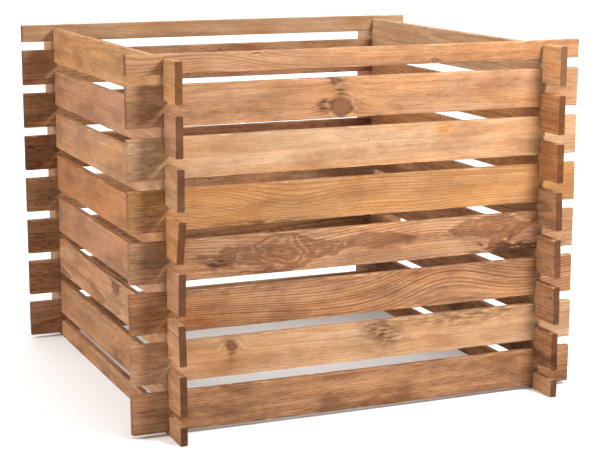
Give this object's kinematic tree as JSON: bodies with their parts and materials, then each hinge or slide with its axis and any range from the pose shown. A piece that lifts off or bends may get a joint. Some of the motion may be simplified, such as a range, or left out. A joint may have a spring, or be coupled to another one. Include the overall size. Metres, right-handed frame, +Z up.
{
  "type": "slatted wooden crate",
  "caption": "Square open crate of notched softwood boards laid crosswise in alternating courses, with air slots and overhanging ends.",
  "frame": {"origin": "middle of the crate's footprint, on the ground that the two lowest side boards stand on", "axes": "+Z up; +X along the front wall to the right as seen from the front; the front wall faces -Y"},
  "size_m": [1, 1, 0.761],
  "materials": {
    "front_and_back_boards": "planed softwood, impregnated honey brown, dry and unvarnished",
    "left_and_right_boards": "planed softwood, impregnated honey brown, dry and unvarnished"
  },
  "bodies": {
    "ground_boards": {"left_board_1": "left_and_right_boards", "right_board_1": "left_and_right_boards"},
    "cross_boards_1": {"front_board_1": "front_and_back_boards", "back_board_1": "front_and_back_boards"},
    "side_boards_2": {"left_board_2": "left_and_right_boards", "right_board_2": "left_and_right_boards"},
    "cross_boards_2": {"front_board_2": "front_and_back_boards", "back_board_2": "front_and_back_boards"},
    "side_boards_3": {"left_board_3": "left_and_right_boards", "right_board_3": "left_and_right_boards"},
    "cross_boards_3": {"front_board_3": "front_and_back_boards", "back_board_3": "front_and_back_boards"},
    "side_boards_4": {"left_board_4": "left_and_right_boards", "right_board_4": "left_and_right_boards"},
    "cross_boards_4": {"front_board_4": "front_and_back_boards", "back_board_4": "front_and_back_boards"},
    "side_boards_5": {"left_board_5": "left_and_right_boards", "right_board_5": "left_and_right_boards"},
    "cross_boards_5": {"front_board_5": "front_and_back_boards", "back_board_5": "front_and_back_boards"},
    "side_boards_6": {"left_board_6": "left_and_right_boards", "right_board_6": "left_and_right_boards"},
    "cross_boards_6": {"front_board_6": "front_and_back_boards", "back_board_6": "front_and_back_boards"},
    "side_boards_7": {"left_board_7": "left_and_right_boards", "right_board_7": "left_and_right_boards"},
    "cross_boards_7": {"front_board_7": "front_and_back_boards", "back_board_7": "front_and_back_boards"},
    "side_boards_8": {"left_board_8": "left_and_right_boards", "right_board_8": "left_and_right_boards"},
    "top_front_board": {"front_board_8": "front_and_back_boards"},
    "top_back_board": {"back_board_8": "front_and_back_boards"}
  },
  "joints": [
    {"name": "lift_cross_boards_1", "type": "slide", "parent": "ground_boards", "child": "cross_boards_1", "axis": [0, 0, 1], "range_m": [0, 0.05]},
    {"name": "lift_side_boards_2", "type": "slide", "parent": "cross_boards_1", "child": "side_boards_2", "axis": [0, 0, 1], "range_m": [0, 0.05]},
    {"name": "lift_cross_boards_2", "type": "slide", "parent": "side_boards_2", "child": "cross_boards_2", "axis": [0, 0, 1], "range_m": [0, 0.05]},
    {"name": "lift_side_boards_3", "type": "slide", "parent": "cross_boards_2", "child": "side_boards_3", "axis": [0, 0, 1], "range_m": [0, 0.05]},
    {"name": "lift_cross_boards_3", "type": "slide", "parent": "side_boards_3", "child": "cross_boards_3", "axis": [0, 0, 1], "range_m": [0, 0.05]},
    {"name": "lift_side_boards_4", "type": "slide", "parent": "cross_boards_3", "child": "side_boards_4", "axis": [0, 0, 1], "range_m": [0, 0.05]},
    {"name": "lift_cross_boards_4", "type": "slide", "parent": "side_boards_4", "child": "cross_boards_4", "axis": [0, 0, 1], "range_m": [0, 0.05]},
    {"name": "lift_side_boards_5", "type": "slide", "parent": "cross_boards_4", "child": "side_boards_5", "axis": [0, 0, 1], "range_m": [0, 0.05]},
    {"name": "lift_cross_boards_5", "type": "slide", "parent": "side_boards_5", "child": "cross_boards_5", "axis": [0, 0, 1], "range_m": [0, 0.05]},
    {"name": "lift_side_boards_6", "type": "slide", "parent": "cross_boards_5", "child": "side_boards_6", "axis": [0, 0, 1], "range_m": [0, 0.05]},
    {"name": "lift_cross_boards_6", "type": "slide", "parent": "side_boards_6", "child": "cross_boards_6", "axis": [0, 0, 1], "range_m": [0, 0.05]},
    {"name": "lift_side_boards_7", "type": "slide", "parent": "cross_boards_6", "child": "side_boards_7", "axis": [0, 0, 1], "range_m": [0, 0.05]},
    {"name": "lift_cross_boards_7", "type": "slide", "parent": "side_boards_7", "child": "cross_boards_7", "axis": [0, 0, 1], "range_m": [0, 0.05]},
    {"name": "lift_side_boards_8", "type": "slide", "parent": "cross_boards_7", "child": "side_boards_8", "axis": [0, 0, 1], "range_m": [0, 0.05]},
    {"name": "lift_top_front_board", "type": "slide", "parent": "side_boards_8", "child": "top_front_board", "axis": [0, 0, 1], "range_m": [0, 0.15]},
    {"name": "lift_top_back_board", "type": "slide", "parent": "side_boards_8", "child": "top_back_board", "axis": [0, 0, 1], "range_m": [0, 0.15]}
  ]
}
